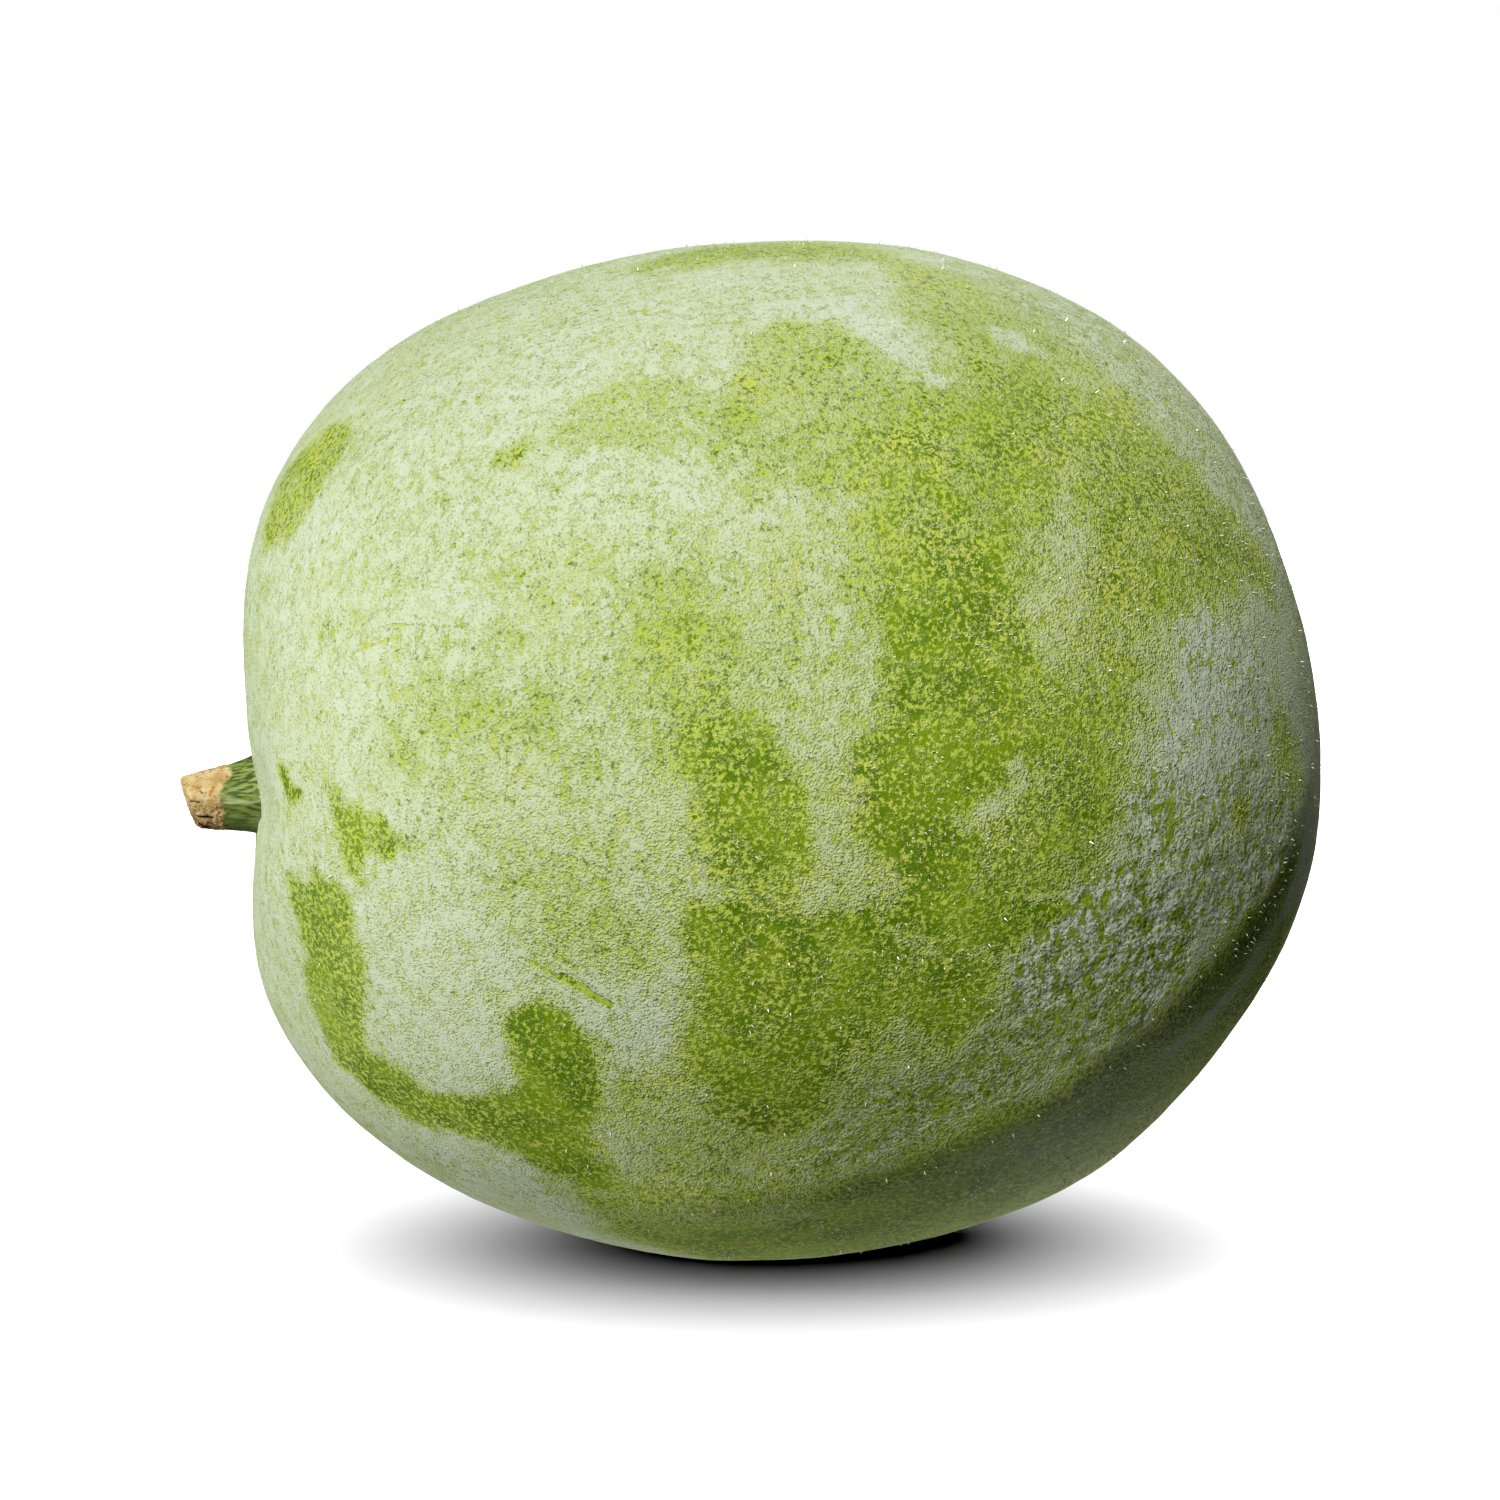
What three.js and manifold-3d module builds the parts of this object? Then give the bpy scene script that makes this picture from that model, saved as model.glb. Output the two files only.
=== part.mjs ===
// A round wax gourd (Benincasa hispida) lying on its side, with the short stalk it was cut with.
//
// Millimetres, +Z up. +X runs from the stalk end to the blossom end and -Y is the front. The origin
// is the middle of the small flat that the gourd lies on, so it rests on the plane z = 0.
//
// The fruit grew as one piece and is one solid. The stalk is the second piece: it sits in the
// dimple at the fruit's end and is trimmed to the fruit's own surface.

import * as THREE from "three";
import { mergeVertices } from "three/addons/utils/BufferGeometryUtils.js";
import Module from "manifold-3d";

const wasm = await Module();
wasm.setup();

// ---------------------------------------------------------------- driving dimensions

const FRUIT_LENGTH = 280; // from the stalk shoulders to the blossom end
const AXIS_DROP = THREE.MathUtils.degToRad(5); // how far the stalk end points below the horizontal
const STALK_LENGTH = 19; // from the floor of the dimple to the middle of the cut
const STALK_WIDTH = 13; // across the cut end
const GAP = 0.3; // clearance between the stalk and the fruit

// ---------------------------------------------------------------- worked out from them

const HALF = FRUIT_LENGTH / 2;
// The heart of the fruit, from which its skin is measured: a little past the middle, and so high
// that the skin just reaches below the ground and is cut off flat there.
const HEART_FORWARD = 0.037 * HALF;
const HEART_HEIGHT = 0.94 * HALF;
const HEART = new THREE.Vector3(HEART_FORWARD, 0, HEART_HEIGHT);
// Along the fruit's axis towards the stalk, and the two directions across it.
const TO_STALK = new THREE.Vector3(-Math.cos(AXIS_DROP), 0, -Math.sin(AXIS_DROP));
const TO_TOP = new THREE.Vector3(-Math.sin(AXIS_DROP), 0, Math.cos(AXIS_DROP));
const TO_FRONT = new THREE.Vector3(0, -1, 0);

// ---------------------------------------------------------------- shape of the fruit

// Distance from the heart to the skin, as a share of HALF, at every eighth of the way from the
// stalk pole to the blossom pole (22.5 degrees), down four meridians.
const STALK_POLE = 0.984;
const BLOSSOM_POLE = 0.99;
const MERIDIANS = {
  top: [1.038, 1.052, 0.976, 0.94, 0.962, 0.999, 1.003],
  front: [1.043, 1.045, 0.99, 0.952, 0.962, 0.984, 0.995],
  bottom: [1.06, 1.027, 0.972, 0.95, 0.963, 0.984, 1.01],
  back: [1.038, 1.045, 0.99, 0.955, 0.962, 0.985, 0.99],
};

// The dimple at the stalk, beyond what the meridians give. It is deepest just above the stalk.
const DIMPLE_DEPTH = 0.026 * HALF;
const DIMPLE_RISE = 0.1; // radians above the stalk pole
const DIMPLE_RADIUS = 0.13; // radians

const FRUIT_RINGS = 42;
const FRUIT_SEGMENTS = 60;

// The value at a share of the way round a closed loop of evenly spaced values, on the smooth
// Catmull-Rom curve through them.
function aroundLoop(values, share) {
  const place = share * values.length;
  const first = Math.floor(place);
  const t = place - first;
  const [a, b, c, d] = [-1, 0, 1, 2].map((k) => values[(first + k + values.length) % values.length]);
  const slope = (c - a) * t;
  const bend = (2 * a - 5 * b + 4 * c - d) * t ** 2;
  const twist = (3 * b - a - 3 * c + d) * t ** 3;
  return (2 * b + slope + bend + twist) / 2;
}

// Each loop runs down one meridian and back up the opposite one, through both poles.
const SIDE_LOOP = [STALK_POLE, ...MERIDIANS.top, BLOSSOM_POLE, ...MERIDIANS.bottom.toReversed()];
const PLAN_LOOP = [STALK_POLE, ...MERIDIANS.front, BLOSSOM_POLE, ...MERIDIANS.back.toReversed()];

// The skin's distance from the heart. polar is the angle from the stalk pole, and around is the
// turn about the axis: 0 at the top, a quarter turn at the front.
function skinRadius(polar, around) {
  const share = polar / (2 * Math.PI);
  const top = aroundLoop(SIDE_LOOP, share);
  const bottom = aroundLoop(SIDE_LOOP, 1 - share);
  const front = aroundLoop(PLAN_LOOP, share);
  const back = aroundLoop(PLAN_LOOP, 1 - share);
  const mean = (top + bottom + front + back) / 4;
  const squash = (top + bottom - front - back) / 4;
  const smooth =
    mean +
    ((top - bottom) / 2) * Math.cos(around) +
    ((front - back) / 2) * Math.sin(around) +
    squash * Math.cos(2 * around);
  const upFromDimple = polar * Math.cos(around) - DIMPLE_RISE;
  const asideFromDimple = polar * Math.sin(around);
  const fromDimple = Math.hypot(upFromDimple, asideFromDimple) / DIMPLE_RADIUS;
  return HALF * smooth - DIMPLE_DEPTH * Math.exp(-(fromDimple ** 2));
}

// A point of space from its distance along a direction about the heart.
function fromHeart(polar, around, radius) {
  return HEART.clone()
    .addScaledVector(TO_STALK, radius * Math.cos(polar))
    .addScaledVector(TO_TOP, radius * Math.sin(polar) * Math.cos(around))
    .addScaledVector(TO_FRONT, radius * Math.sin(polar) * Math.sin(around));
}

// ---------------------------------------------------------------- shape of the stalk

const STALK_RADIUS = STALK_WIDTH / 2;
// The stalk's length starts at the floor of the dimple.
const DIMPLE_FLOOR = fromHeart(0, 0, skinRadius(0, 0));
// Half widths of the stalk, as shares of STALK_RADIUS, against the share of its length. It starts
// inside the fruit and flares towards it.
const STALK_PROFILE = new THREE.SplineCurve(
  [
    [-0.35, 2.3],
    [-0.12, 1.95],
    [0.06, 1.58],
    [0.22, 1.4],
    [0.5, 1.26],
    [0.78, 1.12],
    [1.0, 1.0],
  ].map(([along, width]) => new THREE.Vector2(along, width)),
);
const STALK_RIBS = 5;
const RIB_DEPTH = 0.06; // share of the radius
const CUT_SLANT = THREE.MathUtils.degToRad(14); // the cut leans back towards the bottom
const STALK_RINGS = 14;
const STALK_SEGMENTS = 40;

function stalkPoint(ringShare, around) {
  const { x: along, y: width } = STALK_PROFILE.getPoint(ringShare);
  const rib = 1 + RIB_DEPTH * Math.cos(STALK_RIBS * around);
  const radius = STALK_RADIUS * width * rib;
  const slant = ringShare * radius * Math.cos(around) * Math.tan(CUT_SLANT);
  return DIMPLE_FLOOR.clone()
    .addScaledVector(TO_STALK, along * STALK_LENGTH + slant)
    .addScaledVector(TO_TOP, radius * Math.cos(around))
    .addScaledVector(TO_FRONT, radius * Math.sin(around));
}

// ---------------------------------------------------------------- solids

const SAME_POINT = 1e-4; // points closer than this are one

// A closed solid whose surface is a row of rings that runs away from the stalk's cut end, each end
// closed by a fan about its end point.
function solidFromRings(rings, startPoint, endPoint) {
  const segments = rings[0].length;
  const points = [startPoint, ...rings.flat(), endPoint];
  const last = points.length - 1;
  const at = (ring, segment) => 1 + ring * segments + (segment % segments);
  const faces = [];
  for (let s = 0; s < segments; s++) {
    faces.push(0, at(0, s + 1), at(0, s));
    for (let r = 0; r + 1 < rings.length; r++) {
      faces.push(at(r, s), at(r, s + 1), at(r + 1, s + 1));
      faces.push(at(r, s), at(r + 1, s + 1), at(r + 1, s));
    }
    faces.push(last, at(rings.length - 1, s), at(rings.length - 1, s + 1));
  }
  const geometry = new THREE.BufferGeometry().setFromPoints(points);
  geometry.setIndex(faces);
  return solidFromGeometry(geometry);
}

function solidFromGeometry(geometry) {
  geometry.deleteAttribute("normal");
  geometry.deleteAttribute("uv");
  const merged = mergeVertices(geometry, SAME_POINT);
  return new wasm.Manifold(
    new wasm.Mesh({
      numProp: 3,
      vertProperties: merged.attributes.position.array,
      triVerts: new Uint32Array(merged.index.array),
    }),
  );
}

function geometryOf(solid) {
  const { vertProperties, triVerts } = solid.getMesh();
  const geometry = new THREE.BufferGeometry();
  geometry.setAttribute("position", new THREE.BufferAttribute(vertProperties, 3));
  geometry.setIndex(new THREE.BufferAttribute(triVerts, 1));
  geometry.computeVertexNormals();
  return geometry;
}

// Angles evenly spaced around a full turn.
function turns(count) {
  return Array.from({ length: count }, (_, k) => (2 * Math.PI * k) / count);
}

// Everything below the surface that the gourd lies on.
function groundSolid() {
  const size = 2 * FRUIT_LENGTH;
  const box = new THREE.BoxGeometry(size, size, size).translate(0, 0, -size / 2);
  return solidFromGeometry(box);
}

function fruitSolid() {
  const rings = [];
  for (let r = 1; r < FRUIT_RINGS; r++) {
    const polar = (Math.PI * r) / FRUIT_RINGS;
    rings.push(turns(FRUIT_SEGMENTS).map((turn) => fromHeart(polar, turn, skinRadius(polar, turn))));
  }
  const stalkPole = fromHeart(0, 0, skinRadius(0, 0));
  const blossomPole = fromHeart(Math.PI, 0, skinRadius(Math.PI, 0));
  return solidFromRings(rings, stalkPole, blossomPole).subtract(groundSolid());
}

// The stalk runs from its cut end into the fruit, and what lies within GAP of the fruit is cut off.
function stalkSolid(fruit) {
  const rings = [];
  for (let r = STALK_RINGS; r >= 0; r--) {
    rings.push(turns(STALK_SEGMENTS).map((turn) => stalkPoint(r / STALK_RINGS, turn)));
  }
  const middleOf = (ring) =>
    ring.reduce((sum, p) => sum.add(p), new THREE.Vector3()).divideScalar(ring.length);
  const stalk = solidFromRings(rings, middleOf(rings[0]), middleOf(rings.at(-1)));
  const growth = 1 + GAP / skinRadius(0, 0);
  const grownFruit = fruit
    .translate(HEART.clone().negate().toArray())
    .scale(growth)
    .translate(HEART.toArray());
  return stalk.subtract(grownFruit);
}

// ---------------------------------------------------------------- the gourd

function piece(name, solid, color, roughness) {
  const material = new THREE.MeshStandardMaterial({ color, roughness, metalness: 0 });
  const mesh = new THREE.Mesh(geometryOf(solid), material);
  mesh.name = name;
  return mesh;
}

const fruit = fruitSolid();
const gourd = new THREE.Group();
gourd.name = "wax_gourd";
gourd.add(piece("fruit", fruit, 0xa9bd84, 0.6));
gourd.add(piece("stalk", stalkSolid(fruit), 0xa8965a, 0.8));

export default gourd;
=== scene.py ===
"""A wax gourd lying on its side, as it looks: the dusty rind, its bristles and the cut stalk.

Metres, +Z up. +X runs from the stalk end to the blossom end, -Y is the front, and the gourd lies on
z = 0. Places on the fruit are two angles about its heart: polar, from the stalk end (0 degrees) to
the blossom end (180), and around, from the top (0) by the front (90) to the bottom (180).
"""

import itertools
import math

import bmesh
import bpy
import numpy as np
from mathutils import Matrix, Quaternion, Vector
from mathutils.bvhtree import BVHTree


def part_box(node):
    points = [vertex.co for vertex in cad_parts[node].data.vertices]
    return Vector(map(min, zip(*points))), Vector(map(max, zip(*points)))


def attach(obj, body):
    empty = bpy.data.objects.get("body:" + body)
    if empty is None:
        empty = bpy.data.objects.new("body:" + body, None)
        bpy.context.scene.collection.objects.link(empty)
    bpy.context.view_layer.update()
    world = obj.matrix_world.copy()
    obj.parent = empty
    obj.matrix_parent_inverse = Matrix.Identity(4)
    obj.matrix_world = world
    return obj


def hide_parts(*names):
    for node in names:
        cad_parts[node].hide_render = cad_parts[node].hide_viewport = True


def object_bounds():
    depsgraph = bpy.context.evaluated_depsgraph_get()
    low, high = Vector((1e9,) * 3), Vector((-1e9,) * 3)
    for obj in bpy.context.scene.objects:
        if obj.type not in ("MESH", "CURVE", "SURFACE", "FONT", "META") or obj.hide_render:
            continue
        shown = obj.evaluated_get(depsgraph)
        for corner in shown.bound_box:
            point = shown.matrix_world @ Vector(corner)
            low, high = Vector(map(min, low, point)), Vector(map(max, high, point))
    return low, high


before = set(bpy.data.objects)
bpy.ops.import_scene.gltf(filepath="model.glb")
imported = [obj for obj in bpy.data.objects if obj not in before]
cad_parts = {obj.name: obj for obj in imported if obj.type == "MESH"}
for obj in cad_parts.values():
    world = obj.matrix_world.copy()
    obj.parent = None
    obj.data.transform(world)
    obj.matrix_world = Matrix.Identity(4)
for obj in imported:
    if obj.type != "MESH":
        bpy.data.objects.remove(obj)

MM = 0.001
cad_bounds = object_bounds()


# -------------------------------- camera

CAMERA_AZIMUTH = math.radians(-6)
CAMERA_ELEVATION = math.radians(5)
CAMERA_DISTANCE = 1.09
CAMERA_LENS = 100.0  # mm, on a sensor 36 mm wide
CAMERA_DROP = 0.9 * MM  # how far below the middle of the gourd the camera aims


def add_camera():
    sideways = math.sin(CAMERA_AZIMUTH) * math.cos(CAMERA_ELEVATION)
    backwards = -math.cos(CAMERA_AZIMUTH) * math.cos(CAMERA_ELEVATION)
    from_object = Vector((sideways, backwards, math.sin(CAMERA_ELEVATION)))
    aim = (cad_bounds[0] + cad_bounds[1]) / 2 - Vector((0, 0, CAMERA_DROP))
    camera = bpy.data.objects.new("camera", bpy.data.cameras.new("camera"))
    camera.data.lens = CAMERA_LENS
    camera.location = aim + CAMERA_DISTANCE * from_object
    camera.rotation_euler = from_object.to_track_quat("Z", "Y").to_euler()
    bpy.context.collection.objects.link(camera)
    bpy.context.scene.camera = camera


# -------------------------------- places on the fruit

AXIS_DROP = math.radians(5)  # how far the stalk end points below the horizontal
TO_STALK = np.array((-math.cos(AXIS_DROP), 0.0, -math.sin(AXIS_DROP)))
TO_TOP = np.array((-math.sin(AXIS_DROP), 0.0, math.cos(AXIS_DROP)))
TO_FRONT = np.array((0.0, -1.0, 0.0))

fruit_low, fruit_high = (np.array(corner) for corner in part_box("fruit"))
HEART = (fruit_low + fruit_high) / 2
SKIN_RADIUS = (fruit_high - fruit_low).mean() / 2


def tree_of(node):
    return BVHTree.FromObject(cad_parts[node], bpy.context.evaluated_depsgraph_get())


FRUIT_TREE = tree_of("fruit")
STALK_TREE = tree_of("stalk")


def reach(tree, start, towards):
    """How far it is from a point to the CAD surface, in metres."""
    return tree.ray_cast(Vector(start), Vector(towards))[3]


def direction(polar, around):
    """The unit direction from the heart at these angles, in radians."""
    across = math.cos(around) * TO_TOP + math.sin(around) * TO_FRONT
    return math.cos(polar) * TO_STALK + math.sin(polar) * across


def flattened(directions, polar, around, turn=0.0):
    """Every direction's place on a map of the skin about one spot: two distances, in metres.

    The map's first axis points to the blossom end, turned by `turn` towards growing `around`.
    """
    centre = direction(polar, around)
    along = direction(polar + math.pi / 2, around)
    onwards = direction(math.pi / 2, around + math.pi / 2)
    first = math.cos(turn) * along + math.sin(turn) * onwards
    second = -math.sin(turn) * along + math.cos(turn) * onwards
    angle = np.arccos(np.clip(directions @ centre, -1.0, 1.0))
    stretch = SKIN_RADIUS * angle / np.maximum(np.sin(angle), 1e-6)
    return stretch * (directions @ first), stretch * (directions @ second)


def smoothstep(low, high, values):
    share = np.clip((values - low) / (high - low), 0.0, 1.0)
    return share * share * (3.0 - 2.0 * share)


def noise(points, size, seed):
    """Smooth noise between about -1 and 1, with bumps about `size` metres wide."""
    random = np.random.default_rng(seed)
    shuffled = random.permutation(256)
    slopes = random.normal(size=(256, 3))
    slopes /= np.linalg.norm(slopes, axis=1, keepdims=True)
    place = points / size
    cell = np.floor(place).astype(int)
    inside = place - cell
    fade = inside**3 * (inside * (inside * 6.0 - 15.0) + 10.0)
    total = np.zeros(len(points))
    for corner in itertools.product((0, 1), repeat=3):
        key = np.zeros(len(points), dtype=int)
        for axis in range(3):
            key = shuffled[(key + cell[:, axis] + corner[axis]) & 255]
        weight = np.where(corner, fade, 1.0 - fade).prod(axis=1)
        total += weight * ((inside - corner) * slopes[key]).sum(axis=1)
    return 1.5 * total


def ripples(points, size, height, seed):
    """The same noise between about -height and height."""
    return height * noise(points, size, seed)


# -------------------------------- where the bloom lies

# The waxy bloom is thickest towards the stalk, and is rubbed off or still stands in places. Each
# mark is its amount of bloom, from 0 for bare rind to 1, the width of its soft edge in mm and the
# corners of its outline, as (polar, around) in degrees. They are laid on in this order.
FULL_BLOOM = 0.9  # its amount outside all marks
EDGE_SOFTNESS = 2.0  # times the width of every edge
BLOOM_MARKS = {
    # wide and faint
    "thin_flank": (0.76, 14, [(44, 86), (46, 77), (55, 66), (66, 58), (80, 62), (84, 84), (76, 100),
        (70, 110), (60, 107), (56, 96), (50, 92)]),
    "worn_right": (0.45, 16, [(92, 62), (98, 50), (108, 40), (122, 40), (136, 50), (140, 66), (128, 76),
        (124, 90), (120, 104), (106, 112), (94, 108), (88, 90)]),
    "underside": (0.1, 10, [(64, 154), (66, 138), (76, 133), (90, 136), (104, 129), (118, 130), (124, 136),
        (116, 152), (100, 166), (78, 166)]),
    "low_mottle": (0.55, 8, [(64, 120), (74, 118), (90, 112), (104, 110), (108, 120), (96, 130), (84, 138),
        (68, 138)]),
    "high_edge": (0.5, 6, [(76, 12), (88, 6), (101, 7), (106, 13), (104, 19), (92, 17), (80, 17)]),
    "high_right": (0.58, 7, [(103, 15), (114, 18), (126, 28), (128, 39), (110, 41), (105, 34)]),
    # painted shade: thin bloom along the band of the lower flank darkens it where the light falls off
    "shade": (0.24, 5, [(84, 142), (100, 134), (112, 129), (122, 124), (134, 119), (146, 111), (150, 116),
        (146, 126), (134, 131), (122, 134), (110, 138), (98, 142), (86, 147)]),
    "hem": (0.3, 5, [(94, 151), (102, 147), (112, 142), (124, 138), (136, 136), (146, 130), (152, 134),
        (146, 150), (130, 160), (112, 164), (98, 160)]),
    "pitted_right": (0.86, 10, [(112, 18), (122, 30), (133, 42), (142, 52), (150, 64), (160, 62), (152, 36),
        (136, 18), (122, 8)]),
    # rubbed by hands
    "crown_left": (0.68, 4, [(65, 45), (68, 41), (75, 40), (81, 43), (88, 50), (92, 58), (84, 60), (78, 52),
        (72, 50), (67, 49)]),
    "crown": (0.57, 3, [(81, 50), (83, 43), (87, 37), (90, 34), (96, 35), (100, 40), (104, 45), (104, 53),
        (97, 61), (88, 58)]),
    "shoulder": (0.33, 7, [(96, 51), (102, 46), (107, 45), (110, 39), (118, 38), (119, 46), (118, 57),
        (112, 60), (110, 70), (99, 69), (96, 61)]),
    "right_band": (0.36, 6, [(120, 46), (124, 41), (129, 42), (133, 48), (139, 52), (147, 58), (149, 66),
        (138, 65), (131, 71), (126, 73), (122, 66), (120, 57)]),
    "left_scuff": (0.6, 6, [(45, 77), (48, 73), (52, 71), (56, 74), (62, 78), (60, 82), (52, 80), (47, 83)]),
    "flank_low": (0.62, 8, [(57, 97), (66, 96), (70, 102), (68, 107), (60, 106)]),
    "middle_fade": (0.47, 7, [(73, 67), (77, 66), (80, 70), (82, 78), (83, 85), (74, 86), (71, 78)]),
    "middle": (0.16, 5, [(75, 85), (79, 82), (84, 84), (87, 90), (87, 96), (84, 100), (78, 99), (76, 95)]),
    "centre": (0.13, 5, [(96, 71), (100, 66), (107, 66), (109, 72), (112, 82), (113, 89), (104, 90),
        (97, 86), (95, 79)]),
    "centre_low": (0.05, 4, [(92, 84), (97, 82), (104, 86), (111, 87), (108, 93), (103, 97), (101, 104),
        (96, 102), (91, 93)]),
    "right_low": (0.26, 6, [(112, 82), (118, 84), (120, 91), (119, 97), (114, 101), (104, 103), (101, 100),
        (106, 95), (111, 91)]),
    "band": (0.14, 4, [(73, 100), (80, 100), (90, 101), (100, 101), (108, 103), (117, 103), (116, 106),
        (109, 109), (96, 108), (80, 108), (74, 106)]),
    "mass": (0.13, 5, [(74, 106), (86, 105), (98, 108), (105, 110), (104, 116), (99, 119), (94, 114),
        (89, 119), (87, 124), (82, 128), (77, 126), (74, 120), (70, 117), (74, 112)]),
    "right_edge": (0.4, 4, [(143, 84), (147, 88), (150, 97), (150, 106), (146, 103), (144, 94)]),
    "right_edge_low": (0.15, 4, [(147, 112), (149, 120), (143, 127), (135, 131), (126, 132), (122, 129),
        (132, 123), (139, 118)]),
    # rubbed by its neighbours near the stalk
    "column": (0.04, 3, [(55, 113), (58, 111), (61, 111), (64, 116), (64, 127), (63, 133), (65, 140),
        (61, 142), (57, 139), (52, 131), (55, 124)]),
    "foot": (0.1, 3, [(34, 136), (37, 131), (41, 129), (47, 131), (55, 128), (58, 138), (50, 138), (45, 141),
        (38, 141)]),
    "strip": (0.22, 2, [(28, 103), (33, 100), (38, 101), (39, 110), (38, 120), (38, 131), (37, 139),
        (33, 140), (30, 132), (30, 118)]),
    "triangle": (0.22, 2, [(36, 84), (41, 87), (46, 92), (44, 93), (41, 93), (40, 98), (38, 97), (38, 91)]),
    "nick": (0.1, 1, [(27, 78), (29, 78), (32, 84), (31, 87), (29, 86)]),
    "high_streak": (0.4, 3, [(44, 24), (45, 29), (42, 33), (38, 36), (33, 37), (30, 28), (31, 19), (36, 17),
        (40, 20)]),
    "speck": (0.4, 1.5, [(60, 48), (61, 46), (64, 44), (64, 46), (62, 48)]),
    # bloom that still stands between the rubs
    "standing_drop": (0.68, 5, [(117, 56), (119, 61), (120, 68), (118, 75), (114, 79), (111, 77), (110, 71),
        (114, 63)]),
    "standing_streak": (0.72, 4, [(83, 62), (89, 61), (94, 71), (95, 80), (90, 87), (87, 90), (85, 84),
        (82, 75)]),
    "standing_neck": (0.62, 3, [(87, 86), (90, 87), (89, 95), (86, 96)]),
    "standing_foot": (0.64, 3, [(85, 96), (90, 95), (93, 97), (95, 100), (88, 101), (84, 101)]),
    "standing_chip": (0.62, 2, [(108, 87), (111, 90), (107, 94), (103, 97), (101, 95), (104, 91)]),
    "standing_line": (0.5, 1, [(91, 102), (95, 104), (99, 108), (99, 110), (94, 106)]),
    "palm": (1.0, 2, [(130, 73), (134, 72), (140, 74), (144, 78), (144, 90), (138, 92), (132, 96), (125, 92),
        (127, 84), (129, 78)]),
    "palm_heel": (0.92, 3, [(125, 91), (133, 95), (140, 92), (144, 96), (148, 108), (146, 114), (138, 118),
        (130, 116), (121, 112), (119, 102), (121, 94)]),
    "crust": (0.92, 1, [(114, 103), (120, 103), (130, 112), (128, 120), (120, 125), (112, 121), (107, 119),
        (105, 113), (108, 110)]),
    "trail": (0.66, 4, [(120, 119), (119, 126), (110, 127), (100, 130), (90, 135), (83, 135), (84, 130),
        (90, 124), (98, 121), (107, 117)]),
    "low_stripe": (0.45, 5, [(58, 141), (62, 143), (72, 139), (84, 138), (86, 144), (74, 147), (62, 148)]),
    "tip": (0.98, 2, [(96, 28), (100, 29), (104, 37), (107, 44), (105, 45), (99, 37), (92, 31)]),
    "fleck": (0.98, 2, [(113, 32), (117, 32), (119, 36), (114, 37)]),
    "spot": (0.35, 3, [(134, 99), (137, 98), (138, 102), (135, 103)]),
}
# Rubs drawn at random on the hidden side: how many, and their ranges of half length and half width
# in mm, of bloom left and of width of the soft edge in mm.
HIDDEN_RUBS = [
    (10, (25, 60), (16, 36), (0.36, 0.66), (12, 22)),
    (14, (7, 28), (4, 14), (0.12, 0.45), (5, 12)),
]
HIDDEN_SEED = 11
RUB_CORNERS = 8
RUB_UNEVENNESS = (0.7, 1.2)  # a corner's distance from the middle, as a share of the oval's
RUB_POLAR = (30, 150)  # where their middles may lie, in degrees
RUB_AROUND = (-170, -10)
DEGREES_PER_MM = math.degrees(MM / SKIN_RADIUS)
# How outlines wander, from broad to fine: bump size, reach, seed.
WARP = ((20 * MM, 3.0 * MM, 11), (7 * MM, 3.0 * MM, 17), (3.5 * MM, 1.6 * MM, 23))
# Slow changes of the bloom's thickness, from broad to fine: bump size, height, seed.
BLOOM_DRIFT = ((40 * MM, 0.05, 41), (12 * MM, 0.08, 42), (5 * MM, 0.08, 43))
# How crusty the bloom is in some of the marks, from 0 to 1. It isn't in the others.
CRUSTY = {"pitted_right": 0.5, "palm": 0.4, "palm_heel": 0.75, "crust": 1.0, "trail": 0.7}


def warped(directions):
    """The directions, each moved a little along the skin, so that outlines wander."""
    moved = SKIN_RADIUS * directions
    for size, extent, seed in WARP:
        steps = [noise(SKIN_RADIUS * directions, size, seed + axis) for axis in range(3)]
        moved = moved + extent * np.stack(steps, axis=1)
    return moved / np.linalg.norm(moved, axis=1, keepdims=True)


def gap_to_line(xs, ys, run, rise):
    """How far places are from a straight line, all measured from the line's start."""
    share = np.clip((xs * run + ys * rise) / (run**2 + rise**2), 0.0, 1.0)
    return np.hypot(xs - share * run, ys - share * rise)


def distance_to(directions, corners, closed):
    """Each direction's distance along the skin to a line, and whether the closed line holds it."""
    centre = np.radians(np.mean(corners, axis=0))
    first, second = flattened(directions, *centre)
    spots = np.array([direction(*corner) for corner in np.radians(corners)])
    xs, ys = flattened(spots, *centre)
    gap = np.full(len(directions), np.inf)
    inside = np.zeros(len(directions), dtype=bool)
    for k in range(0 if closed else 1, len(corners)):
        x, y = xs[k - 1], ys[k - 1]
        run, rise = xs[k] - x, ys[k] - y
        gap = np.minimum(gap, gap_to_line(first - x, second - y, run, rise))
        crosses = (ys[k] > second) != (y > second)
        inside ^= crosses & (first < x + run * (second - y) / (rise or 1.0))
    return gap, inside


def outlined(directions, corners, edge):
    """How far each direction lies inside an outline: from 0 outside to 1, across its soft edge."""
    gap, inside = distance_to(directions, corners, closed=True)
    return smoothstep(-0.5 * edge, 0.5 * edge, np.where(inside, gap, -gap))


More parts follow.
